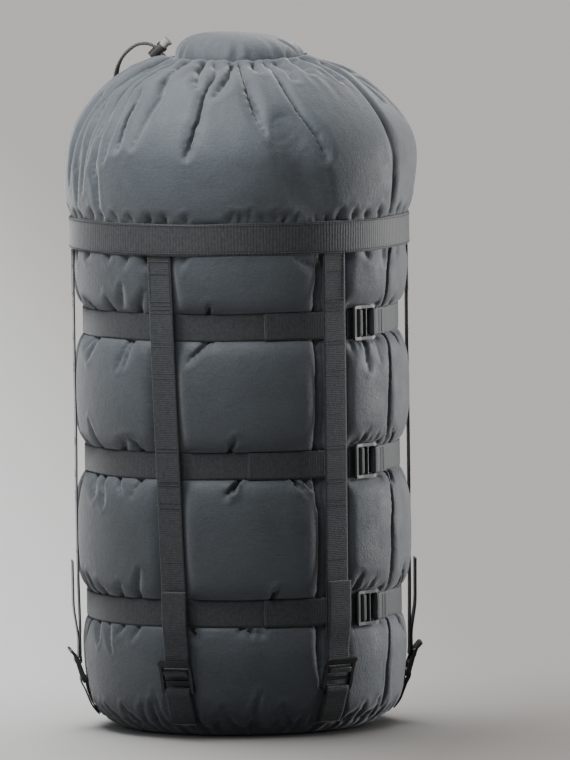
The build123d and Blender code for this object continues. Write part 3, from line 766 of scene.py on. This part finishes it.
def settle(x, rows, rest_u, rest_s, low, high, steps, push, bend, least):
    """Let the cloth find its folds: fixed cloth size, the load behind, webbing in front.
    rows gives each row's radius, height and outward normal; low and high are the distances
    from it between which a point stays; push is the load's outward step and bend smooths."""
    row_r, row_z, nr, nz = (v[:, None] for v in rows)
    wall = nr[:, 0] > 0.8
    diag = np.hypot(rest_u, rest_s)
    for _ in range(steps):
        du = np.roll(x, -1, 1) - np.roll(x, 1, 1)
        ds = np.empty_like(x)
        ds[1:-1] = x[2:] - x[:-2]
        ds[0], ds[-1] = x[1] - x[0], x[-1] - x[-2]
        n = np.cross(du, ds)
        n /= np.sqrt((n * n).sum(-1))[..., None] + 1e-9
        x += n * push
        x += bend * (0.5 * (np.roll(x, -1, 1) + np.roll(x, 1, 1)) - x)
        x[1:-1] += bend * (0.5 * (x[2:] + x[:-2]) - x[1:-1])
        for odd in (0, 1):
            a = x[:, odd::2]
            b = np.roll(x[:, 1 - odd::2], -odd, 1)
            pull(a, b, rest_u[:, None], least, 0.6)
            x[:, 1 - odd::2] = np.roll(b, odd, 1)
        for odd in (0, 1):
            m = (len(x) - odd) // 2
            pull(x[odd:odd + 2 * m:2], x[odd + 1:odd + 2 * m:2], rest_s, 0.95, 0.4)
        for odd in (0, 1):
            m = (len(x) - odd) // 2
            a = x[odd:odd + 2 * m:2]
            for way in (1, -1):
                b = np.roll(x[odd + 1:odd + 2 * m:2], -way, 1)
                pull(a, b, diag[odd:odd + 2 * m:2, None] * 1.01, 0.9, 0.2)
                x[odd + 1:odd + 2 * m:2] = np.roll(b, way, 1)
        r = np.hypot(x[..., 0], x[..., 1])
        dr, dz = r - row_r, x[..., 2] - row_z
        out = np.clip(dr * nr + dz * nz, low, high)
        slip = 0.92 * (dz * nr - dr * nz)
        new = row_r + out * nr - slip * nz
        x[..., 2] = row_z + out * nz + slip * nr
        az = np.degrees(np.arctan2(x[wall][..., 0], -x[wall][..., 1]))
        new[wall] = np.minimum(new[wall], outer_limit(az, new[wall], x[wall][..., 2]))
        x[..., :2] *= (new / r)[..., None]
    return x


# coarse to fine: halvings of the grid, steps, push, bend and the shortest share of an edge
LEVELS = ((2, 300, 0.10, 0.06, 0.975), (1, 170, 0.05, 0.05, 0.98), (0, 90, 0.025, 0.035, 0.985))


def solve_cloth(cols, step, quick):
    """The settled cloth grid (rows, columns, 3), and each row's distance along it and height."""
    out = None
    for level, steps, push, bend, least in LEVELS:
        c, h = cols >> level, step * (1 << level)
        row_r, row_z, row_s = profile_rows(h)
        top = int(np.argmax(row_z))
        az = np.arange(c) * 360.0 / c - 180.0

        def z_to_s(z):
            return float(np.interp(z, row_z[:top + 1], row_s[:top + 1]))
        tr, tz = np.gradient(row_r, row_s), np.gradient(row_z, row_s)
        size = np.hypot(tr, tz)
        nr, nz = tz / size, -tr / size
        # panels between the vertical straps stand prouder than the cloth behind the straps
        near = np.full((len(row_z), c), 400.0)
        for side in VERTICAL_AZ:
            d = apart(az[None, :], strap_az(side, row_z)[:, None])
            near = np.minimum(near, np.abs(np.radians(d)) * row_r[:, None])
        tall = np.interp(row_z, [13, 50, 80, 470, 490, 500], [0, 0.3, 1, 1, 0.2, 0])
        tall[top:] = 0.0
        waist = np.clip((row_r - WAIST_R) / 6.0, 0.0, 1.0) * np.where(row_z < 100.0, 0.5, 1.0)
        aim = (tall * waist)[:, None] * (1.9 - 7.4 * np.exp(-(near / 17.0) ** 4))
        # the collar leans a little to one side
        shoulder = np.exp(-((row_z - 552.0) / 34.0) ** 2)
        shoulder[top:] = 0.0
        aim += shoulder[:, None] * 3.2 * np.sin(np.radians(az + 4.0))[None, :]
        deep, ridge = crease_shape(az, row_r, row_s, z_to_s)
        aim += ridge * np.clip(1.0 - deep / 2.0, 0.0, 1.0) - deep
        rim = np.exp(-((row_s - row_s[top]) / 13.0) ** 2)[:, None]
        aim += rim * (1.3 * np.sin(np.radians(az * 19 + 40)) + 0.9 * np.sin(np.radians(az * 31 + 200))
                      + 0.9 * np.sin(np.radians(az * 7 + 90)))[None, :]
        sway = 2.2 * np.sin(row_s / 19.0)[:, None] + 1.6 * np.sin(row_s / 31.0 + 2.0)[:, None]
        below = np.where(row_s <= row_s[top], np.exp(-((row_s[top] - row_s) / 52.0) ** 2),
                         np.exp(-((row_s - row_s[top]) / 8.0) ** 2))[:, None]
        aim += below * (0.95 * np.sin(np.radians(az[None, :] * 47) + sway)
                        + 0.75 * np.sin(np.radians(az[None, :] * 71 + 60) - 1.3 * sway)
                        + 0.6 * np.sin(np.radians(az[None, :] * 29 + 120) + 0.6 * sway))
        # the mouth dips a little in front
        aim -= 4.5 * rim * np.exp(-(az / 40.0) ** 2)[None, :]
        tube_r = np.interp(row_s, [0, 40, 60, z_to_s(457), z_to_s(487), z_to_s(520)],
                           [147.0, 157.0, 159.0, 159.4, 162.5, 168.5])
        excess = tube_r / row_r
        excess = np.where(row_z > 540, 1 + 0.55 * (excess - 1), excess)
        excess[top:] = excess[top]
        excess = np.clip(excess, 1.012, 1.38)
        rest_u = (2 * math.pi * row_r * excess / c).astype(np.float32)
        free = np.clip(deep, 0.0, 1.0)
        slack = np.interp(row_z, [0, 60, 500, 600, 625], [1.5, 1.6, 1.8, 3.5, 5.5])[:, None]
        room = np.interp(row_z, [0, 60, 470, 500, 560, 610, 636],
                         [1.0, 1.4, 1.4, 2.0, 3.0, 4.0, 3.4])[:, None]
        room = np.where(row_s[:, None] > row_s[top], 1.5, room)
        low = (aim - slack * (1 - 0.6 * free)).astype(np.float32)
        high = (aim + room * (1 - 0.8 * free)).astype(np.float32)
        if out is None:
            ripple = np.zeros((len(row_s), c))
            for _ in range(14):
                waves = int(rng.integers(16, 44))
                drift = np.cumsum(rng.normal(0, 0.06, len(row_s)))
                ripple += np.cos(np.radians(az)[None, :] * waves + rng.uniform(0, 6.28) + drift[:, None])
            ripple *= 2.4 * np.clip(excess - 1.0, 0.0, 0.5)[:, None]
            off = np.clip(aim + ripple, low, high)
            rr, zz = row_r[:, None] + off * nr[:, None], row_z[:, None] + off * nz[:, None]
            out = around(rr, np.radians(az)[None, :], zz).astype(np.float32)
        else:
            wide = np.empty((out.shape[0], out.shape[1] * 2, 3), np.float32)
            wide[:, 0::2] = out
            wide[:, 1::2] = 0.5 * (out + np.roll(out, -1, 1))
            new = np.interp(row_s, last_s, np.arange(len(last_s)))
            i = np.clip(new.astype(int), 0, len(last_s) - 2)
            t = (new - i)[:, None, None].astype(np.float32)
            out = wide[i] * (1 - t) + wide[i + 1] * t
        last_s = row_s
        out = settle(out, (row_r, row_z, nr, nz), rest_u, float(row_s[1] * 1.004), low, high,
                     steps // 6 if quick else steps, push, bend, least)
    return out, row_s, row_z


CLOTH_COLUMNS, CLOTH_STEP = 576, 1.74
cloth, row_s, row_z = solve_cloth(CLOTH_COLUMNS, CLOTH_STEP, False)

top_row = int(np.argmax(row_z))
seam_row = int(np.argmin(np.abs(row_z[:top_row] - BAND_Z)))
hem_row = int(np.argmin(np.abs(row_z[:top_row] - 629.0)))
col_u = np.arange(cloth.shape[1] + 1) * (CLOTH_STEP * MM)
row_v = row_s * MM

for name, node, first, last in (("sack_wall", "lower_sack", 0, seam_row),
                                ("sack_collar", "collar", seam_row, hem_row),
                                ("mouth_gather", "mouth_hem", hem_row, len(cloth) - 1)):
    part = slice(first, last + 1)
    piece = grid_object(name, cloth[part], MAT_CLOTH, True, col_u, row_v[part])
    declare(piece, "sack", "pack_cloth", node)

# bottom panel: flat on the ground, gathered into the bottom seam
rad = np.concatenate([np.linspace(2.0, 96.0, 26), np.linspace(100.0, 132.0, 16)])
az = np.radians(np.arange(cloth.shape[1]) * 360.0 / cloth.shape[1] - 180.0)
rows = []
for r in rad:
    z = 0.0
    if r > CORNER_R:
        z = CORNER_BEND - math.sqrt(max(0.0, CORNER_BEND ** 2 - (r - CORNER_R) ** 2))
    ease = min(1.0, max(0.0, (r - 108.0) / 24.0))
    ripple = ease * (0.9 * np.sin(az * 43 + 2 * np.sin(az * 3)) + 0.6 * np.sin(az * 71 + 1.3))
    rows.append(around(r, az, z + 0.1 + np.maximum(ripple, -z)))
rows.append(cloth[0])
base_grid = np.array(rows)[::-1]
base = grid_object("bottom_cloth", base_grid, MAT_CLOTH, True, col_u, np.linspace(0, 0.14, len(base_grid)))
declare(base, "sack", "pack_cloth", "bottom_panel")

# storm flap: the cloth cap that covers the load inside the drawn mouth
flap_az = np.radians(np.arange(180) * 2.0 - 180.0)
rows = []
for k in range(46):
    t = k / 45.0
    if t < 0.12:
        r, z = 59.6, 622.0 + t / 0.12 * 8.0
        rows.append(around(r, flap_az, z))
        continue
    q = (t - 0.12) / 0.88
    ang = q * math.pi / 2
    r = 60.2 * math.cos(ang) ** 0.62
    lift = 28.6 * math.sin(ang) ** 0.78
    wr = (1 - q) * (0.9 * np.sin(flap_az * 17 + 1.5 * np.sin(flap_az * 2)) + 0.8 * np.sin(flap_az * 29 + 0.7))
    for deep, place, swing, wide in ((2.6, -0.75, -0.5, 0.06), (2.0, -1.15, 0.3, 0.05),
                                     (1.6, 0.55, 0.4, 0.05)):
        wr = wr - deep * np.exp(-((flap_az + place + swing * q) / wide) ** 2) * min(1.0, 2.2 * (1 - q))
    side = 1.0 + 0.03 * np.sin(flap_az + 0.6) * (1 - q)
    rr = np.maximum(r * side + wr * min(1.0, q * 6) * 0.8, 0.0)
    rr = rr * (1.0 + 0.035 * np.maximum(np.sin(flap_az), 0.0))
    z = 630.0 + lift - 3.0 * q * (1 - q) * np.sin(flap_az + 0.3) - 2.4 * q * rr / 60.0 * np.sin(flap_az)
    rows.append(around(rr, flap_az, z))
flap = grid_object("storm_flap_cloth", np.array(rows), MAT_CLOTH, True, np.arange(181) * 0.0021,
                   np.linspace(0, 0.1, 46))
declare(flap, "sack", "pack_cloth", "storm_flap")

# the load behind the cloth
load_r, load_z, _ = profile_rows(12.0)
keep = load_z < 622.0
keep[int(np.argmax(load_z)):] = False
lr, lz = load_r[keep] - 11.0, load_z[keep]
lz = 12.0 + (lz - lz[0]) / (lz[-1] - lz[0]) * (612.0 - 12.0)
laz = np.radians(np.arange(72) * 5.0)
rings = [around(r, laz, z) for r, z in zip(lr, lz)]
top_rings = [around(r, laz, z) for r, z in (
    (55.0, 618.0), (52.0, 630.0), (45.0, 642.0), (30.0, 650.0), (1.0, 653.0))]
rings = [rings[0] * [0.02, 0.02, 1], rings[0] * [0.6, 0.6, 1], *rings, *top_rings]
rings = [g + rng.normal(0, 0.8, g.shape) * [1, 1, 0.3] for g in rings]
load = grid_object("sleeping_bag", np.array(rings), MAT_LOAD, True, np.arange(73) * 0.013,
                   np.linspace(0, 0.8, len(rings)))
fill_holes(load)
declare(load, "sack", "insulation", "packed_sleeping_bag")

# ---- horizontal straps and the band
UP = Vector((0, 0, 1))
RING_R, LAYER = 149.05, 1.7
LEAN, RING_LOCK_AZ, RING_LOCK_R, RING_TURN = math.radians(17.0), 50.5, 152.35, math.radians(5.5)
LOCK_R, LOCK_Z = 153.9, 46.0


def arc_points(r, az0, az1, z, step=1.5, wave=0.0, seed=0.0):
    """Points round the sack at one height, with a slight waver in the height."""
    n = max(2, int(abs(az1 - az0) / step))
    out = []
    for i in range(n + 1):
        a = az0 + (az1 - az0) * i / n
        dz = wave * (math.sin(math.radians(a) * 5 + seed) + 0.6 * math.sin(math.radians(a) * 11 + 2 * seed))
        out.append(polar(r, a, z + dz))
    return out


def strap_piece(name, pts, across, node, body="sack", mat=None, **more):
    """A piece of webbing that rides on a body and stands for a CAD node."""
    piece = webbing(name, pts, across if isinstance(across, list) else [across] * len(pts),
                    mat or MAT_WEB, **more)
    if body:
        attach(piece, body)
    if node:
        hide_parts(node)
    return piece


def tangent(az):
    """The direction of growing azimuth."""
    return Vector((math.cos(math.radians(az)), math.sin(math.radians(az)), 0))


def on_vertical(az, w, u, v=0.0):
    """From a vertical lock's frame (w outwards, u to the tab, v across) to the sack's."""
    return polar(LOCK_R + w * math.cos(LEAN) + u * math.sin(LEAN), az,
                 LOCK_Z - w * math.sin(LEAN) + u * math.cos(LEAN)) + tangent(az) * v


def on_ring(z, w, u, v=0.0, turn=RING_TURN):
    """The same for a horizontal lock: u runs round towards the front."""
    r = RING_LOCK_R + w * math.cos(turn) - u * math.sin(turn)
    return polar(r, RING_LOCK_AZ, z + v) + tangent(RING_LOCK_AZ) * (-w * math.sin(turn) - u * math.cos(turn))


def round_sack(r, az):
    """A place round the sack in a horizontal lock's frame."""
    d = math.radians(az - RING_LOCK_AZ)
    return (r * math.cos(d) - RING_LOCK_R, -r * math.sin(d))


def flat_route(points, radii):
    """A rounded route in one plane, as pairs."""
    return [(p.x, p.z) for p in rounded([(a, 0.0, b) for a, b in points], radii, 0.25)]


ring_band = arc_points(160.7, 0.0, 358.0, BAND_Z, 2.0, 0.5, 1.2)
strap_piece("top_band_webbing", ring_band, UP, "top_band", mat=MAT_BAND, width=30.0, closed=True)

for i, (level, z) in enumerate(RING_Z.items()):
    body = f"lock_{level}_ring"
    seed = i * 1.7
    for part, r, a0, a1, shift in (("strap", RING_R, 59.0, 391.0, 0.31),
                                   ("tail", RING_R + LAYER, TAIL_END_AZ[level], 31.0, 0.17)):
        strap_piece(f"ring_{part}_{level}", arc_points(r, a0, a1, z, 1.5, 0.35, seed), UP,
                    f"horizontal_{part}_{level}", u0=i * shift)
    for part, r, a1 in (("strap", RING_R, 40.7), ("tail", RING_R + LAYER, 37.9)):
        end = strap_piece(f"ring_{part}_end_{level}", arc_points(r, 30.9, a1, z, 0.8, 0.0), UP, None, None)
        tuple(polar(r, 33.0, z) * MM)
        tuple(polar(r, 39.5, z) * MM)
        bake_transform(end)
    wrap = flat_route([(-2.9, 25.2), (-2.5, 16.5), (2.5, 16.5), (2.5, 21.2), (-0.8, 22.6), (-1.5, 33.0)],
                      [2.3, 2.3, 1.8, 1.2])
    strap_piece(f"ring_wrap_{level}", [on_ring(z, w, u) for w, u in wrap], UP,
                f"horizontal_wrap_{level}", body)
    stub = flat_route([round_sack(RING_R, 59.3), round_sack(RING_R + 0.2, 54.5), (-2.85, 2.85),
                       (2.85, 2.85), (2.85, -3.0), round_sack(RING_R + LAYER + 0.3, 53.8),
                       round_sack(RING_R + LAYER, 59.3)], [60.0, 2.6, 2.6, 5.0, 8.0])
    strap_piece(f"ring_anchor_{level}", [on_ring(z, w, u, 0.0, 0.0) for w, u in stub], UP,
                f"horizontal_anchor_{level}")

# ---- vertical straps
threads = []
STRAP_Z, STRAP_R = [STRAP_LOW, 130.0, 175.0, 200.0, STRAP_HIGH], [156.9, 157.75, 158.3, 158.45, 158.45]


def corner(rho, below):
    """Radius and height of a point round the bottom corner, at an angle below level."""
    b = math.radians(below)
    return (CORNER_R + rho * math.cos(b), CORNER_BEND - rho * math.sin(b))


def on_strap(side, across, height):
    """A place on a vertical strap's outer face."""
    a = float(strap_az(side, height))
    return polar(float(np.interp(height, STRAP_Z, STRAP_R)) + 0.82, a, height) + tangent(a) * across


# heights of the bars of stitching: below the band, at each crossing and between them
BARS = [451.0, 439.5, 413.5, 410.0]
BARS += [RING_Z[level] + dz for level in ("top", "middle") for dz in (17.5, 14.0, -14.0, -17.5)]
BARS += [346.0, 341.0, 224.0, 219.0, 168.0]

for k, (side, az) in enumerate(VERTICAL_AZ.items()):
    zs = np.linspace(STRAP_HIGH, STRAP_LOW, 180)
    rs = np.interp(zs, STRAP_Z, STRAP_R)
    slack = 0.35 * np.sin(zs / 31.0 + k) * (zs < 470) * (zs > 90)
    azs = strap_az(side, zs)
    middle = [polar(r - max(0.0, s), a, z) for r, s, a, z in zip(rs, slack, azs, zs)]
    main = strap_piece(f"strap_{side}", middle, [tangent(a) for a in azs], f"vertical_strap_{side}", None,
                       u0=k * 0.23)
    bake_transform(main)
    slant = math.tan(LEAN)
    far = (VERTICAL_TAIL_Z[side] - LOCK_Z) / math.cos(LEAN)
    route = flat_route([(-2.5 - slant * 6.0, 25.0), (-2.6, 16.5), (2.5, 16.5), (2.5, 21.2),
                        (-0.8 - slant * 3.4, 22.4), (-0.8 - slant * 21.0, 40.0),
                        (-0.8 - slant * (far * 0.55 - 22.0) + 1.2, far * 0.62),
                        (-0.8 - slant * (far - 20.0) + 4.6, far)], [2.3, 2.3, 1.8, 1.2, 60.0, 90.0])
    strap_piece(f"tail_{side}", [on_vertical(az, w, u) for w, u in route], tangent(az),
                f"vertical_tail_{side}", f"lock_{side}", u0=k * 0.11)
    x, z = LOCK_R, LOCK_Z
    loop = flat_route([corner(47.05, 42), corner(47.9, 31), corner(47.9, 10), (x - 2.85, z + 2.85),
                       (x + 2.85, z + 2.85), (x + 2.85, z - 2.5), (152.95, 36.5), corner(49.7, 31),
                       corner(48.8, 42)], [41.0, 38.0, 2.6, 2.6, 8.0, 12.0, 38.0])
    strap_piece(f"anchor_{side}", [polar(r, az, h) for r, h in loop], tangent(az), f"vertical_anchor_{side}")
    for h in BARS:
        threads += stitch_line(on_strap(side, -10.5, h), on_strap(side, 10.5, h), 2.4)
    for v in (-10.4, 10.4):                                 # a row down each edge of the top box
        threads += stitch_line(on_strap(side, v, 455.0), on_strap(side, v, 411.0), 3.2)
over = RING_R + LAYER + 0.85
for level, z in RING_Z.items():
    tail_az = TAIL_END_AZ[level]
    for a, pitch in ((55.6, 2.0), (57.4, 2.0), (tail_az + 1.0, 2.4), (tail_az + 2.2, 2.4)):
        threads += stitch_line(polar(over, a, z - 10.5), polar(over, a, z + 10.5), pitch)
for h in (459.0, 485.0):                                    # the band's two rows of stitching
    for a in np.arange(0.0, 360.0, 1.25):
        threads.append((polar(161.5, a, h), polar(161.5, a + 0.85, h)))
stitches = capsules("stitching", threads, 0.32, MAT_THREAD)
declare(stitches, "sack", "webbing")

# CAD nodes that keep their own shape; the first match counts
NODE_MATS = (("vertical_lock", MAT_LOCK), ("horizontal_lock", MAT_LOCK), ("vertical_", MAT_WEB),
             ("horizontal_", MAT_WEB), ("cord_lock_body", MAT_BARREL), ("cord_lock_plunger", MAT_BUTTON),
             ("cord_lock_spring", MAT_STEEL), ("drawcord", MAT_CORD), ("", MAT_CLOTH))
for name, node in NODES.items():
    node.data.materials.clear()
    node.data.materials.append(next(mat for start, mat in NODE_MATS if name.startswith(start)))

# small edge rounding that catches the light on the moulded parts
for name, node in NODES.items():
    if name.startswith(("vertical_lock", "horizontal_lock", "cord_lock_body", "cord_lock_plunger")):
        bevel = node.modifiers.new("edges", "BEVEL")
        bevel.width = 0.0004
        bevel.segments = 2
        bevel.limit_method = "ANGLE"
        bevel.angle_limit = math.radians(32.0)

# ---- floor and light
mat_floor = Net("studio_floor", (0.8, 0.78, 0.76), 0.8, Specular_IOR_Level=0.15)
# painted light fall-off: the floor's colour is lighter to the left and at the back and darker to the right
# and towards the front, painted shade standing in for light falling off across the floor
sep = mat_floor.node("ShaderNodeSeparateXYZ", {0: mat_floor.coords()})
side_painted_shade = mat_floor.ramp(sep.outputs[0], -0.3, 0.35, interpolation_type="SMOOTHSTEP")
near_painted_shade = mat_floor.ramp(sep.outputs[1], 0.6, -0.5, interpolation_type="SMOOTHSTEP")
tone = mat_floor.add((side_painted_shade, 0.8), (near_painted_shade, 0.4))
mat_floor.out("Base Color", mat_floor.mix(tone, (1.0, 0.99, 0.975), (0.40, 0.375, 0.345)))
disc_az = np.radians(np.arange(96) * 3.75)
disc = np.array([[(r * math.sin(a) * 1000, -r * math.cos(a) * 1000, 0.0) for a in disc_az]
                 for r in (0.002, 0.5, 2.0, 8.0, 30.0, 80.0)])
floor = grid_object("studio_floor", disc, mat_floor.mat)
fill_holes(floor, 0.01)

lit = bpy.data.collections.new("sack_only")
for ob in bpy.context.scene.objects:
    if ob.type == "MESH" and ob is not floor:
        lit.objects.link(ob)


def area_light(name, az, el, dist, size, power, aim):
    """A soft light on the sack only, at an azimuth, elevation and distance from what it lights."""
    data = bpy.data.lights.new(name, "AREA")
    data.shape = "RECTANGLE"
    data.size, data.size_y = size
    data.energy = power
    ob = link(bpy.data.objects.new(name, data))
    ob.location = Vector(aim) + direction(math.radians(az), math.radians(el)) * dist
    ob.rotation_euler = (Vector(aim) - ob.location).to_track_quat("-Z", "Y").to_euler()
    ob.light_linking.receiver_collection = lit


def sun_light(name, energy, angle, tilt=(0.0, 0.0), lights=None):
    """A soft sun; lights names the only collection it falls on."""
    ob = link(bpy.data.objects.new(name, bpy.data.lights.new(name, "SUN")))
    ob.data.energy = energy
    ob.data.angle = math.radians(angle)
    ob.rotation_euler = (math.radians(tilt[0]), math.radians(tilt[1]), 0.0)
    if lights:
        ob.light_linking.receiver_collection = lights


area_light("light_left", -60.0, 50.0, 0.85, (0.30, 0.40), 10.5, aim=(0, 0, 0.52))
area_light("light_right", 106.0, 8.0, 1.6, (0.35, 1.1), 38.0, aim=(0, 0, 0.27))
area_light("light_front", -24.0, 44.0, 0.9, (0.35, 0.3), 6.5, aim=(0, 0, 0.46))
sun_light("light_sun", 2.3, 50.0, (-22.0, -8.0))
on_floor = bpy.data.collections.new("floor_only")
on_floor.objects.link(floor)
sun_light("light_floor", 0.75, 60.0, lights=on_floor)
world = bpy.data.worlds.new("studio")
bpy.context.scene.world = world
world.use_nodes = True
world.node_tree.nodes["Background"].inputs["Color"].default_value = (0.92, 0.95, 1.0, 1.0)
world.node_tree.nodes["Background"].inputs["Strength"].default_value = 0.22
